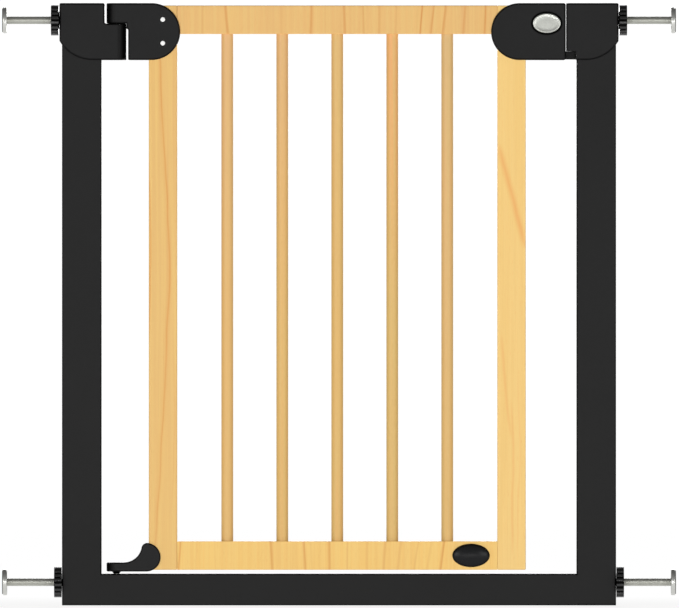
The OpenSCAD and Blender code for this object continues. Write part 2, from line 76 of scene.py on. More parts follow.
def srgb(r, g, b):
    """Linear colour of an 8-bit sRGB colour."""
    def lin(c):
        c /= 255.0
        return c / 12.92 if c <= 0.04045 else ((c + 0.055) / 1.055) ** 2.4
    return (lin(r), lin(g), lin(b), 1.0)


class Net:
    """A small helper that builds one material's nodes."""

    def __init__(self, name, **fixed):
        self.mat = bpy.data.materials.new(name)
        self.mat.use_nodes = True
        self.nt = self.mat.node_tree
        self.bsdf = self.nt.nodes["Principled BSDF"]
        for key, value in fixed.items():
            self.bsdf.inputs[key.replace("_", " ")].default_value = value
        self.coord = self.new("ShaderNodeTexCoord").outputs["Object"]

    def new(self, kind, **props):
        n = self.nt.nodes.new(kind)
        for k, v in props.items():
            setattr(n, k, v)
        return n

    def link(self, a, b):
        self.nt.links.new(a, b)

    def put(self, socket, value):
        if isinstance(value, (int, float, tuple)):
            socket.default_value = value
        else:
            self.link(value, socket)

    def math(self, op, a, b=0.0, c=0.0, clamp=False):
        n = self.new("ShaderNodeMath", operation=op, use_clamp=clamp)
        for s, v in zip(n.inputs, (a, b, c)):
            self.put(s, v)
        return n.outputs[0]

    def scale(self, xyz, shift=(0, 0, 0), source=None):
        n = self.new("ShaderNodeMapping")
        n.inputs["Scale"].default_value = xyz
        n.inputs["Location"].default_value = shift
        self.link(source or self.coord, n.inputs["Vector"])
        return n.outputs[0]

    def noise(self, vector, scale=1.0, detail=2.0, rough=0.5, distortion=0.0):
        n = self.new("ShaderNodeTexNoise")
        self.link(vector, n.inputs["Vector"])
        n.inputs["Scale"].default_value = scale
        n.inputs["Detail"].default_value = detail
        n.inputs["Roughness"].default_value = rough
        n.inputs["Distortion"].default_value = distortion
        return n.outputs["Fac"]

    def ramp(self, fac, stops, mode="LINEAR"):
        n = self.new("ShaderNodeValToRGB")
        n.color_ramp.interpolation = mode
        e = n.color_ramp.elements
        while len(e) > 1:
            e.remove(e[-1])
        e[0].position, e[0].color = stops[0][0], stops[0][1]
        for p, c in stops[1:]:
            k = e.new(p)
            k.color = c
        self.link(fac, n.inputs["Fac"])
        return n.outputs["Color"]

    def grey(self, fac, stops):
        return self.ramp(fac, [(p, (v, v, v, 1)) for p, v in stops])

    def mix(self, fac, a, b, mode="MIX"):
        n = self.new("ShaderNodeMix", data_type="RGBA", blend_type=mode)
        self.put(n.inputs["Factor"], fac)
        self.put(n.inputs[6], a)
        self.put(n.inputs[7], b)
        return n.outputs[2]

    def bump(self, height, strength, distance, normal=None):
        n = self.new("ShaderNodeBump")
        n.inputs["Strength"].default_value = strength
        n.inputs["Distance"].default_value = distance
        self.link(height, n.inputs["Height"])
        if normal is not None:
            self.link(normal, n.inputs["Normal"])
        return n.outputs["Normal"]

    def rounded(self, stops):
        """Grey factor from how far the surface leans away from the piece's front and back; it masks the painted shade
        on rounded edges.
        """
        true = self.new("ShaderNodeNewGeometry").outputs["True Normal"]
        t = self.new("ShaderNodeVectorTransform", vector_type="NORMAL", convert_from="WORLD",
                     convert_to="OBJECT")
        self.link(true, t.inputs[0])
        sep = self.new("ShaderNodeSeparateXYZ")
        self.link(t.outputs[0], sep.inputs[0])
        return self.grey(self.math("ABSOLUTE", sep.outputs["Y"]), stops)

    def out(self, **links):
        for k, v in links.items():
            self.link(v, self.bsdf.inputs[k.replace("_", " ")])
        return self.mat


# painted shade: the black skin is darkened to near black wherever an edge is rounded over, and a little darker on the
# side walls, by how far the surface leans from the piece's front and back
EDGE = [(0.0, 0.75), (0.10, 0.60), (0.22, 0.10), (0.84, 0.04), (0.955, 0.08), (0.975, 0.20), (0.99, 0.60), (0.998, 1.0)]


def powder_coat():
    """Satin black powder coat: fine orange peel, a faint cloudiness and painted shade on rounded edges."""
    n = Net("powder_coat_black", Metallic=0.0, Specular_IOR_Level=0.11)
    peel = n.noise(n.scale((1, 1, 1)), 620.0, 3.0, 0.55)
    cloud = n.noise(n.scale((1, 1, 1), (3, 1, 7)), 9.0, 2.0, 0.5)
    colour = n.mix(cloud, (0.0128, 0.0128, 0.0128, 1), (0.0156, 0.0155, 0.0154, 1))
    # painted shade: rounded edges darkened to near black
    colour = n.mix(n.rounded(EDGE), (0.0006, 0.0006, 0.0006, 1), colour)
    rough = n.math("MULTIPLY_ADD", peel, 0.12, 0.40)
    return n.out(Base_Color=colour, Roughness=rough, Normal=n.bump(peel, 0.25, 0.00012))


def moulded(name, dark, light, rough, grain=1900.0, depth=0.00005, spec=0.11, edge=None):
    """Moulded plastic with a fine eroded grain; `edge`, when given, paints shade on rounded edges."""
    n = Net(name, Metallic=0.0, Specular_IOR_Level=spec)
    grainy = n.noise(n.scale((1, 1, 1)), grain, 2.0, 0.6)
    cloud = n.noise(n.scale((1, 1, 1), (5, 2, 1)), 22.0, 3.0, 0.55)
    colour = n.mix(cloud, dark, light)
    if edge:
        # painted shade: rounded edges darkened to near black
        colour = n.mix(n.rounded(edge), (0.0006, 0.0006, 0.0006, 1), colour)
    r = n.math("ADD", n.math("MULTIPLY_ADD", grainy, 0.10, rough - 0.05),
               n.math("MULTIPLY_ADD", cloud, 0.06, -0.03))
    return n.out(Base_Color=colour, Roughness=r, Normal=n.bump(grainy, 0.35, depth))


def metal(name, colour_a, colour_b, rough, axis="X", lines=900.0, depth=0.00003):
    """Bright zinc or steel: drawn lines along one axis and a soft mottling."""
    n = Net(name, Metallic=1.0)
    s = {"X": (0.02, 1, 1), "Y": (1, 0.02, 1), "Z": (1, 1, 0.02), "N": (1, 1, 1)}[axis]
    drawn = n.noise(n.scale(s), lines, 3.0, 0.6)
    cloud = n.noise(n.scale((1, 1, 1), (2, 9, 4)), 60.0, 3.0, 0.6)
    colour = n.mix(cloud, colour_a, colour_b)
    r = n.math("ADD", n.math("MULTIPLY_ADD", drawn, 0.14, rough - 0.07),
               n.math("MULTIPLY_ADD", cloud, 0.08, -0.04))
    return n.out(Base_Color=colour, Roughness=r, Normal=n.bump(drawn, 0.25, depth))


def wood(name, base, warm, pale, veins=(), ramp_veins=None, seed=0.0, vein_colour=None, tones=None):
    """Clear lacquered light hardwood with upright grain.

    veins: (x at the middle, lean, bow, half width, strength, low z, high z), in mm.
    ramp_veins: (low x, high x, middle z, [(x, width, strength), ...]), in mm.
    """
    n = Net(name, Metallic=0.0, Specular_IOR_Level=0.30, Coat_Weight=0.12, Coat_Roughness=0.28)
    sep = n.new("ShaderNodeSeparateXYZ")
    n.link(n.coord, sep.inputs[0])
    x, z = sep.outputs["X"], sep.outputs["Z"]
    vein_colour = vein_colour or srgb(214, 148, 78)

    broad = n.noise(n.scale((26, 26, 1.6), (seed, 0, seed * 0.7)), 1.0, 2.0, 0.5)
    rings = n.noise(n.scale((170, 90, 2.2), (seed * 3, 0, 0)), 1.0, 2.0, 0.5, 0.25)
    fibre = n.noise(n.scale((1300, 1300, 14), (0, seed, 0)), 1.0, 3.0, 0.6)
    pores = n.noise(n.scale((2600, 2600, 110), (seed, seed, 0)), 1.0, 1.0, 0.5)

    colour = n.mix(n.grey(broad, [(0.32, 0.0), (0.68, 1.0)]), base, warm)
    if tones:
        drift = n.math("ADD", n.math("DIVIDE", z, 0.76), n.math("MULTIPLY_ADD", broad, 0.24, -0.12))
        tone = n.ramp(drift, [(0.20, tones[0]), (0.45, tones[1]), (0.70, tones[2]), (0.93, tones[3])])
        colour = n.mix(0.75, colour, tone)
    colour = n.mix(n.grey(rings, [(0.42, 0.0), (0.60, 0.55), (0.66, 0.1)]), colour, pale)
    tint = n.math("MULTIPLY_ADD", fibre, 0.10, 0.95)
    t = n.new("ShaderNodeCombineColor")
    for s in t.inputs:
        n.link(tint, s)
    colour = n.mix(1.0, colour, t.outputs[0], "MULTIPLY")
    colour = n.mix(n.grey(pores, [(0.66, 0.0), (0.74, 0.30)]), colour, vein_colour)

    wobble = n.math("MULTIPLY_ADD", n.noise(n.scale((6, 6, 9), (seed, 4, 2)), 1.0, 2.0, 0.5),
                    0.008, -0.004)
    darkest = None
    for xm, lean, bow, half, strength, z0, z1 in veins:
        zm, h = (z0 + z1) / 2 * MM, (z1 - z0) / 2 * MM
        u = n.math("DIVIDE", n.math("SUBTRACT", z, zm), h)
        c = n.math("MULTIPLY_ADD", u, lean * MM, xm * MM)
        bend = n.math("SUBTRACT", n.math("SQRT", n.math("MULTIPLY_ADD", u, u, 0.01)), 0.1)
        c = n.math("MULTIPLY_ADD", bend, -bow * MM, c)
        d = n.math("ABSOLUTE", n.math("SUBTRACT", n.math("ADD", x, wobble), c))
        v = n.math("SUBTRACT", 1.0, n.math("DIVIDE", d, half * MM), clamp=True)
        v = n.math("POWER", v, 1.3)
        ends = n.math("SUBTRACT", 1.0, n.math("POWER", n.math("ABSOLUTE", u), 6.0), clamp=True)
        v = n.math("MULTIPLY", n.math("MULTIPLY", v, ends), strength)
        darkest = v if darkest is None else n.math("MAXIMUM", darkest, v)
    if ramp_veins:
        x0, x1, zc, lines = ramp_veins
        lean = n.math("MULTIPLY", n.math("SUBTRACT", z, zc * MM),
                      n.math("MULTIPLY_ADD", n.noise(n.scale((9, 1, 1), (seed, 0, 0)), 1.0, 1.0), 0.8, -0.4))
        q = n.math("ADD", n.math("ADD", x, lean), n.math("MULTIPLY", wobble, 0.25))
        q = n.math("DIVIDE", n.math("SUBTRACT", q, x0 * MM), (x1 - x0) * MM)
        for part in range(0, len(lines), 9):
            stops = [(0.0, 0.0)]
            for lx, w, s in lines[part:part + 9]:
                c, hw = (lx - x0) / (x1 - x0), w / 2 / (x1 - x0)
                stops += [(c - hw, 0.0), (c, s), (c + hw * 0.8, 0.0)]
            v = n.grey(q, stops)
            darkest = v if darkest is None else n.math("MAXIMUM", darkest, v)
    if darkest is not None:
        fade = n.math("MULTIPLY_ADD", n.noise(n.scale((30, 30, 12), (0, 0, seed)), 1.0, 2.0, 0.5), 0.5, 0.72)
        colour = n.mix(n.math("MULTIPLY", darkest, fade, clamp=True), colour, vein_colour)

    rough = n.math("MULTIPLY_ADD", fibre, 0.12, 0.40)
    height = n.math("ADD", fibre, n.math("MULTIPLY", pores, 0.6))
    return n.out(Base_Color=colour, Roughness=rough, Normal=n.bump(height, 0.22, 0.00006))


STEEL = powder_coat()
PLASTIC = moulded("plastic_black_satin", (0.0128, 0.0128, 0.0128, 1), (0.0156, 0.0156, 0.0158, 1), 0.42,
                  edge=EDGE)
# painted shade: the bolt's black is darker than the other plastics, standing in for the shade on its nose in the
# receiver's notch
BOLT = moulded("plastic_black_bolt", (0.0046, 0.0046, 0.0046, 1), (0.0062, 0.0062, 0.0062, 1), 0.45)


def fluted(name, axis_z):
    """Black plastic of a hand nut: painted shade darkens the flutes and a painted highlight lightens the lands between
    them, which are also glossier, polished by hands.
    """
    n = Net(name, Metallic=0.0)
    sep = n.new("ShaderNodeSeparateXYZ")
    n.link(n.scale((1, 1, 1)), sep.inputs[0])
    dz = n.math("SUBTRACT", sep.outputs["Z"], axis_z * MM)
    out = n.math("SQRT", n.math("ADD", n.math("MULTIPLY", dz, dz),
                                n.math("MULTIPLY", sep.outputs["Y"], sep.outputs["Y"])))
    land_highlight_and_gloss = n.grey(n.math("DIVIDE", out, 20 * MM), [(0.900, 0.0), (0.935, 1.0)])
    grainy = n.noise(n.scale((1, 1, 1)), 1500.0, 2.0, 0.6)
    # painted shade in the flutes and painted highlight on the lands
    colour = n.mix(land_highlight_and_gloss, (0.0006, 0.0006, 0.0006, 1), (0.0022, 0.0022, 0.0022, 1))
    return n.out(Base_Color=colour, Roughness=n.math("MULTIPLY_ADD", grainy, 0.08, 0.14),
                 Specular_IOR_Level=n.math("MULTIPLY_ADD", land_highlight_and_gloss, 0.62, 0.03),
                 Normal=n.bump(grainy, 0.3, 0.000004))


NUT_TOP, NUT_LOW = fluted("plastic_black_nut_top", 740.3), fluted("plastic_black_nut_low", 29.2)
# painted shade: the last ramp darkens the dome's rim to near black as it leans from the front
GLOSS = moulded("plastic_black_gloss", (0.0096, 0.0099, 0.0106, 1), (0.0118, 0.0121, 0.0130, 1), 0.27,
                900.0, 0.00002, 0.12, [(0.0, 0.0), (0.62, 0.04), (0.80, 0.35), (0.93, 1.0), (1.0, 1.0)])
ZINC = metal("zinc_bright", srgb(208, 208, 201), srgb(190, 191, 184), 0.45, "X")
DISC = metal("zinc_disc", srgb(214, 214, 210), srgb(200, 201, 196), 0.30, "N", 500.0)
SILVER = metal("silver_satin", srgb(193, 194, 188), srgb(185, 187, 180), 0.34, "N", 700.0)
WHITE = moulded("nylon_white", srgb(250, 250, 249), srgb(243, 243, 241), 0.38, 1200.0, 0.00004, 0.4)
RUBBER = moulded("rubber_grey", srgb(126, 126, 122), srgb(108, 108, 104), 0.72, 1400.0, 0.00008, 0.2)

WOOD_L = wood("wood_left_stile", srgb(231, 188, 111), srgb(226, 181, 110), srgb(233, 195, 117), veins=[
    (-214.4, 1.3, 21.5, 2.3, 0.62, 30, 800),
    (-215.2, 1.3, 21.5, 5.0, 0.24, 30, 800),
    (-238.6, -1.0, 2.0, 2.0, 0.60, 330, 575),
    (-208.0, 1.5, 2.5, 1.3, 0.22, 120, 330)], seed=2.1, vein_colour=srgb(214, 138, 58))
WOOD_R = wood("wood_right_stile", srgb(240, 200, 121), srgb(235, 194, 117), srgb(241, 204, 129), veins=[
    (218.7, -17.5, 0.0, 6.5, 0.55, 450, 585),
    (219.2, -17.5, 0.0, 2.6, 0.55, 456, 580),
    (211.5, -5.5, 0.0, 3.2, 0.30, 210, 345),
    (219.4, 0.6, 0.8, 2.6, 0.30, 62, 262),
    (228.0, 2.0, 2.0, 2.0, 0.16, 60, 300)], seed=7.4, vein_colour=srgb(230, 148, 70))
WOOD_T = wood("wood_top_rail", srgb(231, 186, 114), srgb(225, 177, 111), srgb(230, 193, 121), ramp_veins=(
    -205, 201, 741, [(-172.7, 4.0, 0.50), (-142.3, 4.6, 1.0), (-72.7, 4.0, 0.22), (-34.8, 4.6, 0.80),
                     (-17.1, 3.6, 0.20), (7.0, 4.4, 0.92), (31.0, 4.2, 0.62), (51.2, 4.2, 0.60),
                     (72.7, 4.0, 0.36), (99.0, 2.6, 0.28), (104.4, 3.8, 1.0), (118.3, 4.0, 0.78),
                     (133.5, 4.2, 0.92), (158.8, 4.2, 0.60), (185.3, 4.6, 0.88)]), seed=4.3,
              vein_colour=srgb(210, 136, 64))
WOOD_B = wood("wood_bottom_rail", srgb(240, 196, 110), srgb(235, 189, 108), srgb(240, 203, 121), ramp_veins=(
    -205, 201, 63, [(-202, 3.8, 0.80), (-181, 3.4, 0.16), (-157, 3.4, 0.12), (-85.4, 4.4, 0.85),
                    (-43.6, 4.4, 0.95), (-34.8, 3.4, 0.18), (-12.0, 4.4, 0.92), (10.8, 4.0, 0.38),
                    (35.4, 4.4, 0.40), (57.6, 4.2, 0.68), (76.5, 4.0, 0.48), (98.0, 4.0, 0.32),
                    (114.5, 4.0, 0.32), (130.9, 4.4, 0.98)]), seed=9.6,
              vein_colour=srgb(214, 144, 66))
WOOD_D = wood("wood_dowels", srgb(232, 194, 130), srgb(226, 184, 122), srgb(238, 206, 144), seed=1.2)
# each turned slat is cut from its own piece, so its tone drifts along its length
TONES = {
    1: ((224, 175, 125), (223, 176, 116), (224, 178, 108), (223, 179, 107)),
    2: ((223, 176, 120), (224, 178, 110), (223, 180, 106), (222, 178, 105)),
    3: ((221, 178, 114), (222, 178, 107), (221, 179, 105), (223, 178, 105)),
    4: ((236, 171, 107), (229, 175, 106), (219, 180, 107), (221, 179, 107)),
    5: ((213, 178, 121), (221, 177, 115), (219, 178, 111), (221, 180, 106)),
}
SLATS = {}
for k, (t0, t1, t2, t3) in TONES.items():
    SLATS["slat_%d" % k] = wood("wood_slat_%d" % k, srgb(*t2), srgb(t2[0] + 3, t2[1] - 5, t2[2] - 3),
                                srgb(t2[0] - 3, t2[1] + 5, t2[2] + 6), seed=5.5 + 1.7 * k,
                                tones=[srgb(*t3), srgb(*t2), srgb(*t1), srgb(*t0)])
WOOD_S = SLATS["slat_1"]

LOOKS = {
    "steel_black": STEEL, "plastic_black": PLASTIC, "gloss_black": GLOSS, "silver_button": SILVER,
    "zinc_steel": ZINC, "white_nylon": WHITE, "grey_rubber": RUBBER, "wood": WOOD_S,
}
SLOT = {s["node"]: s["material_slot"] for s in frame["record"]["subparts"]}
for name, obj in NODES.items():
    mat = LOOKS[SLOT[name]]
    mat = {"left_stile": WOOD_L, "right_stile": WOOD_R, "top_rail": WOOD_T, "bottom_rail": WOOD_B,
           "rail_dowels": WOOD_D, **SLATS}.get(name, mat)
    if name.startswith("hand_nut"):
        mat = NUT_TOP if "top" in name else NUT_LOW
    if name == "latch_bolt":
        mat = BOLT
    obj.data.materials.clear()
    obj.data.materials.append(mat)


# ------------------------------------------------ softened edges on CAD nodes

def weigh_edges(o, angle, weight_of):
    """Marks each sharp edge with its share of the bevel width; weight_of reads the edge's two ends."""
    me = o.data

    def key(co):
        return tuple(round(c * 20000) for c in co)

    keys = [key(v.co) for v in me.vertices]
    sides = {}
    for p in me.polygons:
        ring = list(p.vertices)
        for a, b in zip(ring, ring[1:] + ring[:1]):
            sides.setdefault(frozenset((keys[a], keys[b])), []).append(p.normal.copy())
    weight = []
    for e in me.edges:
        a, b = e.vertices
        n = sides.get(frozenset((keys[a], keys[b])), [])
        sharp = len(n) == 2 and n[0].angle(n[1], 0.0) > angle
        weight.append(weight_of(me.vertices[a].co, me.vertices[b].co) if sharp else 0.0)
    at = me.attributes.get("bevel_weight_edge") or me.attributes.new("bevel_weight_edge", "FLOAT", "EDGE")
    at.data.foreach_set("value", weight)


def near(u, v):
    return abs(u - v) < 3e-5


def shell_edges(name, seam, rest, spare=(), arc=None, fine=None, fade=None, face=1.0):
    """`face` on the outer face's edges and round the end of a knuckle, fine on the parting plane.

    arc: (x, radius) of the knuckle, whose axis is vertical at Y = 0.
    fine: (x, z) of a corner cut-out; edges lying below and left of it stay crisp.
    fade: height of a knuckle rim that sharpens towards +X, where the panel's shoulder meets it.
    """
    lo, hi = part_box(name)
    outer = [y for y in (lo.y, hi.y) if abs(y) > 0.001]
    keep = [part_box(n) for n in spare]

    def weight(a, b):
        for klo, khi in keep:
            if all(klo[i] - 0.0012 < c[i] < khi[i] + 0.0012 for c in (a, b) for i in (0, 2)):
                return 0.0
        if fine and all(c.x < fine[0] and c.z < fine[1] for c in (a, b)):
            return rest
        if any(near(a.y, y) and near(b.y, y) for y in outer):
            return face
        upright = near(a.x, b.x) and near(a.z, b.z)
        if fade and upright and near(a.z, fade) and a.x > arc[0]:
            return rest
        if upright and any(near(c.y, y) for c in (a, b) for y in outer):
            return 1.0
        if arc and near(a.z, b.z) and all(abs(math.hypot(c.x - arc[0], c.y) - arc[1]) < 1.5e-4
                                          for c in (a, b)):
            if fade and near(a.z, fade):
                return face * (1.0 - 0.85 * max(0.0, ((a.x + b.x) / 2 - arc[0]) / arc[1]))
            return face
        if near(a.y, 0.0) and near(b.y, 0.0):
            return seam
        return rest
    return weight


def board_edges(name, along, end, rest):
    """Full width on a board's long edges, `end` round its end faces, `rest` round its holes."""
    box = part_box(name)

    def weight(a, b):
        on = [i for i in range(3) if any(near(a[i], q[i]) and near(b[i], q[i]) for q in box)]
        if len(on) < 2:
            return rest
        return end if along in on else 1.0
    return weight


def soften(name, width, segments=3, angle=38.0, weight_of=None):
    """Joins split vertices and rounds the sharp edges, as modifiers only."""
    o = NODES[name]
    w = o.modifiers.new("weld", "WELD")
    w.merge_threshold = 0.00001
    if weight_of is not None:
        d = o.modifiers.new("flat", "DECIMATE")
        d.decimate_type, d.angle_limit = "DISSOLVE", math.radians(0.3)
    b = o.modifiers.new("edges", "BEVEL")
    b.width, b.segments, b.profile = width, segments, 0.5
    if weight_of is None:
        b.limit_method, b.angle_limit = "ANGLE", math.radians(angle)
    else:
        weigh_edges(o, math.radians(angle), weight_of)
        b.limit_method = "WEIGHT"
    b.use_clamp_overlap, b.harden_normals = weight_of is None, False
    b.miter_outer = "MITER_ARC"
    k = o.modifiers.new("normals", "WEIGHTED_NORMAL")
    k.mode, k.weight, k.keep_sharp = "FACE_AREA", 100, True


def smooth(o, angle=32.0):
    me = o.data
    me.polygons.foreach_set("use_smooth", [True] * len(me.polygons))
    me.set_sharp_from_angle(angle=math.radians(angle))


HINGE_X = (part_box("hinge_pin")[0].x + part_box("hinge_pin")[1].x) / 2
HALF_D = -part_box("hinge_bracket_front")[0].y
for n_ in ("hinge_bracket_front", "hinge_bracket_rear", "receiver_front", "receiver_rear",
           "hinge_cap_front", "hinge_cap_rear", "handle_front", "handle_rear"):
    knuckle = (HINGE_X, HALF_D) if n_.startswith("hinge") else None
    cut = (0.3005, 0.703) if n_.startswith("receiver") else None
    rim = {"hinge_bracket": 0.736, "hinge_cap": 0.7362}.get(n_.rsplit("_", 1)[0])
    back = {"hinge_bracket_rear": 0.35, "receiver_rear": 0.12}.get(n_, 1.0)
    soften(n_, 0.0023, 4, 38.0, shell_edges(n_, 0.14, 0.10, ["cap_rivets"], knuckle, cut, rim, back))
soften("foot_arm", 0.0018, 4, 38.0, shell_edges("foot_arm", 0.10, 0.10, arc=(HINGE_X, HALF_D)))
soften("post_foot_plugs", 0.0006, 2)
soften("latch_bolt", 0.0007, 2)
soften("keeper_plate", 0.0004, 2)
for n_, along_ in (("left_stile", 2), ("right_stile", 2), ("top_rail", 0), ("bottom_rail", 0)):
    soften(n_, 0.0014, 3, 38.0, board_edges(n_, along_, 1.0 if along_ == 2 else 0.05, 0.08))
for n_ in NODES:
    if n_.startswith("hand_nut"):
        soften(n_, 0.0006, 2, 25.0)
    if n_.startswith("wall_pad"):
        soften(n_, 0.0003, 2)


# ------------------------------------------------------------- remade pieces

def finish_mesh(name, bm, mat, body, replaces=(), sharp=32.0):
    bmesh.ops.remove_doubles(bm, verts=bm.verts, dist=1e-7)
    bmesh.ops.recalc_face_normals(bm, faces=bm.faces)
    me = bpy.data.meshes.new(name)
    bm.to_mesh(me)
    bm.free()
    o = bpy.data.objects.new(name, me)
    bpy.context.scene.collection.objects.link(o)
    me.materials.append(mat)
    smooth(o, sharp)
    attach(o, body)
    if replaces:
        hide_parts(*replaces)
    return o


def rings_to_faces(bm, rings, closed=True):
    """Skins a list of equal vertex rings and caps both ends with fans."""
    made = [[bm.verts.new(p) for p in ring] for ring in rings]
    k = len(made[0])
    for a, b in zip(made, made[1:]):
        for i in range(k):
            bm.faces.new((a[i], a[(i + 1) % k], b[(i + 1) % k], b[i]))
    if closed:
        for ring in (made[0], made[-1]):
            c = sum((v.co for v in ring), Vector()) / k
            v = bm.verts.new(c)
            for i in range(k):
                bm.faces.new((ring[i], ring[(i + 1) % k], v))
    return made


def lathe_x(bm, profile, side, z, steps=72):
    """Turns (x, radius) points, in mm, about a line along X at height z."""
    rings = []
    for px, pr in profile:
        rings.append([Vector((side * px * MM, pr * MM * math.cos(2 * math.pi * i / steps),
                              z + pr * MM * math.sin(2 * math.pi * i / steps)))
                      for i in range(steps)])
    rings_to_faces(bm, rings)


def thread(bm, side, z, x0, x1, r_top=5.0, r_root=4.35, pitch=1.5, steps=22):
    """A closed rod with a rolled helical thread from x0 to x1, in mm."""
    shape = [(0.0, r_root), (0.14, r_root), (0.36, r_top), (0.78, r_top), (0.999, r_root)]
    per = 8
    n = int(round((x1 - x0) / pitch * per))
    rings = []
    lead = [(x0, r_root - 1.2), (x0 + 0.5, r_root - 0.2)]
    for lx, lr in lead:
        rings.append([Vector((side * lx * MM, lr * MM * math.cos(2 * math.pi * i / steps),
                              z + lr * MM * math.sin(2 * math.pi * i / steps))) for i in range(steps)])

    def radius(t):
        t %= 1.0
        for (a, ra), (b, rb) in zip(shape, shape[1:]):
            if a <= t <= b:
                return ra + (rb - ra) * (t - a) / (b - a)
        return r_root

    for j in range(n + 1):
        x = x0 + 0.6 + (x1 - x0 - 0.6) * j / n
        grow = min(1.0, (x - x0) / 2.0)
        ring = []
        for i in range(steps):
            a = i / steps
            r = radius((x / pitch) - side * a)
            r = min(r, r_root - 0.2 + (r_top - r_root + 0.2) * grow)
            ring.append(Vector((side * x * MM, r * MM * math.cos(2 * math.pi * a),
                                z + r * MM * math.sin(2 * math.pi * a))))
        rings.append(ring)
    rings_to_faces(bm, rings)


CORNERS = [("top_left", -1), ("top_right", 1), ("low_left", -1), ("low_right", 1)]
for corner, side in CORNERS:
    lo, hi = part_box("spindle_" + corner)
    z = (lo.z + hi.z) / 2
    inner = min(abs(lo.x), abs(hi.x)) / MM
    dlo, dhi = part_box("wall_disc_" + corner)
    d0, d1 = sorted((abs(dlo.x) / MM, abs(dhi.x) / MM))
    body = "spindle_" + corner

    bm = bmesh.new()
    thread(bm, side, z, inner, d0 + 2.6)
    finish_mesh("threaded_rod_" + corner, bm, ZINC, body, ["spindle_" + corner], 40)

    # pressed disc: rolled rim, shallow step and a swaged collar round the rod
    bm = bmesh.new()
    R = (dhi.z - dlo.z) / 2 / MM
    prof = [(d0, 5.1), (d0, 6.6), (d0 + 0.2, 7.0), (d0 + 0.35, 7.8), (d0 + 0.45, 9.0),
            (d0 + 0.35, R - 3.0), (d0 + 0.1, R - 2.2), (d0, R - 1.4)]
    for i in range(0, 7):
        a = math.pi / 2 * i / 6
        prof.append((d0 + 1.1 - 1.1 * math.cos(a), R - 1.1 + 1.1 * math.sin(a)))
    for i in range(0, 7):
        a = math.pi / 2 * i / 6
        prof.append((d1 - 0.9 + 0.9 * math.sin(a), R - 0.9 + 0.9 * math.cos(a)))
    prof += [(d1 - 0.02, 8.0), (d1 - 0.02, 2.0)]
    lathe_x(bm, prof, side, z, 96)
    finish_mesh("pressed_disc_" + corner, bm, DISC, body, ["wall_disc_" + corner], 40)


# release button: oval cap with a raised rim round a satin field, flange, wedge and spring pip
def oval_ring(cx, cz, a, b, y, k=96):
    return [Vector((cx + a * math.cos(2 * math.pi * i / k), y, cz + b * math.sin(2 * math.pi * i / k)))
            for i in range(k)]


blo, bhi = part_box("release_button")
BX, BZ = 262.8 * MM, 736.6 * MM
A, B = 17.8 * MM, 12.6 * MM
Y0 = blo.y
bm = bmesh.new()
cap = [  # (inset from the rim, depth from the front), in mm
    (-1.7, 6.5), (-1.7, 5.1), (-1.7, 5.0), (0.0, 5.0), (0.0, 4.9), (0.0, 1.5), (0.08, 1.0), (0.3, 0.55),
    (0.65, 0.2), (1.1, 0.03), (1.5, 0.0), (2.0, 0.04), (2.7, 0.13), (3.4, 0.23), (4.2, 0.29),
    (5.5, 0.32), (8.0, 0.30), (10.5, 0.28)]
rings = []
for inset, depth in cap:
    bi = inset if inset > 0 else inset * 0.18
    rings.append(oval_ring(BX, BZ, A - inset * MM, B - bi * MM, Y0 + depth * MM))
rings_to_faces(bm, rings)


def prism(bm, outline, z0, z1):
    """A closed prism over an (x, y) outline, in metres."""
    low = [bm.verts.new((x, y, z0)) for x, y in outline]
    top = [bm.verts.new((x, y, z1)) for x, y in outline]
    k = len(outline)
    for i in range(k):
        bm.faces.new((low[i], low[(i + 1) % k], top[(i + 1) % k], top[i]))
    bm.faces.new(low[::-1])
    bm.faces.new(top)


def face_x(y):
    return (276 + 1.5 * (y - 4)) * MM


yb = -8.6
prism(bm, [(face_x(yb), yb * MM), (278 * MM, yb * MM), (278 * MM, 4 * MM), (276 * MM, 4 * MM)],
      722 * MM, 729 * MM)
rings_to_faces(bm, [[Vector((BX + r * MM * math.cos(2 * math.pi * i / 24), y * MM,
                             BZ + 6 * MM + r * MM * math.sin(2 * math.pi * i / 24))) for i in range(24)]
                    for r, y in ((3.2, yb), (3.2, -6.5), (2.7, -6.0))])
oval = finish_mesh("oval_button", bm, SILVER, "release_button", ["release_button"], 50)
# only the cap is silvered; its skirt, flange and wedge are black
oval.data.materials.append(BOLT)
for p_ in oval.data.polygons:
    if p_.center.y > Y0 + 1.6 * MM:
        p_.material_index = 1


for name, obj in NODES.items():
    smooth(obj)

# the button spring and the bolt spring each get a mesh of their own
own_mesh(NODES["button_spring"])
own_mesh(NODES["bolt_spring"])


# ---------------------------------------------------------------- the stage

def sweep(name):
    """Pale floor that fades into the white of the studio a little way from the object."""
    n = Net(name, Metallic=0.0, Specular_IOR_Level=0.05, Roughness=0.85)
    n.bsdf.inputs["Base Color"].default_value = (0.94, 0.94, 0.94, 1)
    length = n.new("ShaderNodeVectorMath", operation="LENGTH")
    n.link(n.scale((1.0, 1.25, 1.0)), length.inputs[0])
    fade = n.grey(n.math("DIVIDE", length.outputs["Value"], 2.0), [(0.0, 0.80), (0.55, 1.0)])
    glow = n.new("ShaderNodeEmission")
    glow.inputs["Color"].default_value = (1, 1, 1, 1)
    glow.inputs["Strength"].default_value = 1.0
    both = n.new("ShaderNodeMixShader")
    n.link(fade, both.inputs["Fac"])
    n.link(n.bsdf.outputs[0], both.inputs[1])
    n.link(glow.outputs[0], both.inputs[2])
    n.link(both.outputs[0], n.nt.nodes["Material Output"].inputs["Surface"])
    return n.mat


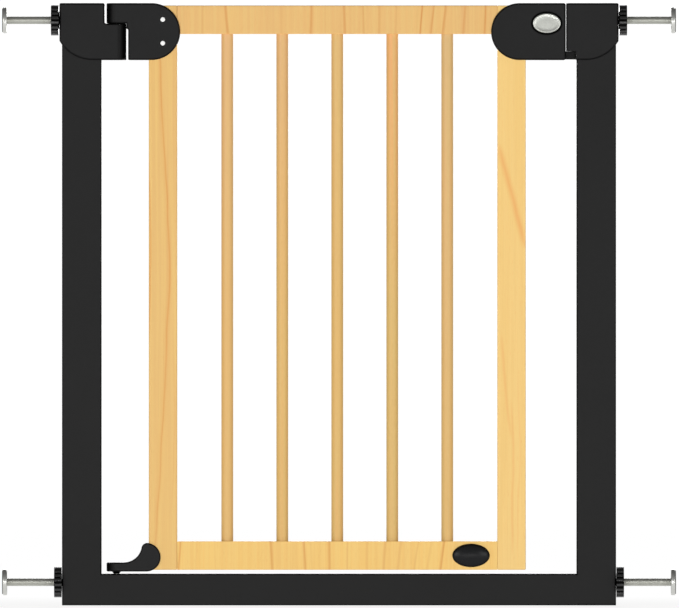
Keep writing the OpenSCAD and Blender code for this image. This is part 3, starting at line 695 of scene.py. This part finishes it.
bm = bmesh.new()
bmesh.ops.create_grid(bm, x_segments=1, y_segments=1, size=9.0)
me = bpy.data.meshes.new("floor")
bm.to_mesh(me)
bm.free()
floor = bpy.data.objects.new("floor", me)
floor.location = (0, 0, -0.0005)
bpy.context.scene.collection.objects.link(floor)
me.materials.append(sweep("floor_pale"))
floor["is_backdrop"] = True

scene = bpy.context.scene
scene.view_settings.view_transform = "Standard"
world = bpy.data.worlds.new("studio")
scene.world = world
world.use_nodes = True
wn = world.node_tree
bg = wn.nodes["Background"]
bg.inputs["Strength"].default_value = 1.0
way = wn.nodes.new("ShaderNodeTexCoord")
split = wn.nodes.new("ShaderNodeSeparateXYZ")
wn.links.new(way.outputs["Generated"], split.inputs[0])


def sky(socket, stops):
    m = wn.nodes.new("ShaderNodeMath")
    m.operation = "MULTIPLY_ADD"
    m.inputs[1].default_value = m.inputs[2].default_value = 0.5
    wn.links.new(socket, m.inputs[0])
    r = wn.nodes.new("ShaderNodeValToRGB")
    e = r.color_ramp.elements
    e[0].position, e[0].color = stops[0][0], (stops[0][1],) * 3 + (1,)
    e[1].position, e[1].color = stops[-1][0], (stops[-1][1],) * 3 + (1,)
    for p, v in stops[1:-1]:
        k = e.new(p)
        k.color = (v, v, v, 1)
    wn.links.new(m.outputs[0], r.inputs["Fac"])
    return r.outputs["Color"]


# brighter in front, quieter behind and overhead
both = wn.nodes.new("ShaderNodeMix")
both.data_type, both.blend_type = "RGBA", "MULTIPLY"
both.inputs["Factor"].default_value = 1.0
wn.links.new(sky(split.outputs["Y"], [(0.0, 0.38), (0.45, 0.21), (0.75, 0.16), (1.0, 0.24)]), both.inputs[6])
wn.links.new(sky(split.outputs["Z"], [(0.5, 1.0), (0.75, 0.95), (1.0, 0.8)]), both.inputs[7])
wn.links.new(both.outputs[2], bg.inputs["Color"])
seen = wn.nodes.new("ShaderNodeBackground")
seen.inputs["Color"].default_value = (1, 1, 1, 1)
seen.inputs["Strength"].default_value = 1.05
ray = wn.nodes.new("ShaderNodeLightPath")
mixed = wn.nodes.new("ShaderNodeMixShader")
wn.links.new(ray.outputs["Is Camera Ray"], mixed.inputs["Fac"])
wn.links.new(bg.outputs[0], mixed.inputs[1])
wn.links.new(seen.outputs[0], mixed.inputs[2])
wn.links.new(mixed.outputs[0], wn.nodes["World Output"].inputs["Surface"])


def area(name, at, target, size, power, colour=(1, 1, 1)):
    d = bpy.data.lights.new(name, "AREA")
    d.shape, d.size, d.size_y, d.energy, d.color = "RECTANGLE", size[0], size[1], power, colour
    o = bpy.data.objects.new(name, d)
    o.location = at
    o.rotation_mode = "QUATERNION"
    o.rotation_quaternion = (Vector(target) - Vector(at)).to_track_quat("-Z", "Y")
    scene.collection.objects.link(o)
    return o


area("front_left", (-2.9, -4.1, 0.62), (0, 0, 0.40), (2.4, 1.8), 76)
area("front_right", (2.7, -4.1, 0.58), (0, 0, 0.40), (2.4, 1.8), 59)
area("front_low", (0.0, -3.2, 0.10), (0, 0, 0.45), (1.6, 0.20), 7.5)
area("rear", (0.5, 4.6, 1.4), (0, 0, 0.40), (2.6, 1.6), 88)

cam = bpy.data.cameras.new("camera")
cam.sensor_width, cam.lens = 36.0, 1100.0
co = bpy.data.objects.new("camera", cam)
scene.collection.objects.link(co)
wide = 679 * 1.265 * MM
dist = wide / 2 / (18.0 / cam.lens)
mid = Vector((0.6 * MM, 0.0, 381.3 * MM))
co.location = mid + Vector((0, -dist - 0.0125, 0))
co.rotation_euler = (math.pi / 2, 0, 0)
cam.clip_start, cam.clip_end = 0.1, 100.0
scene.camera = co

lo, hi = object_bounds()
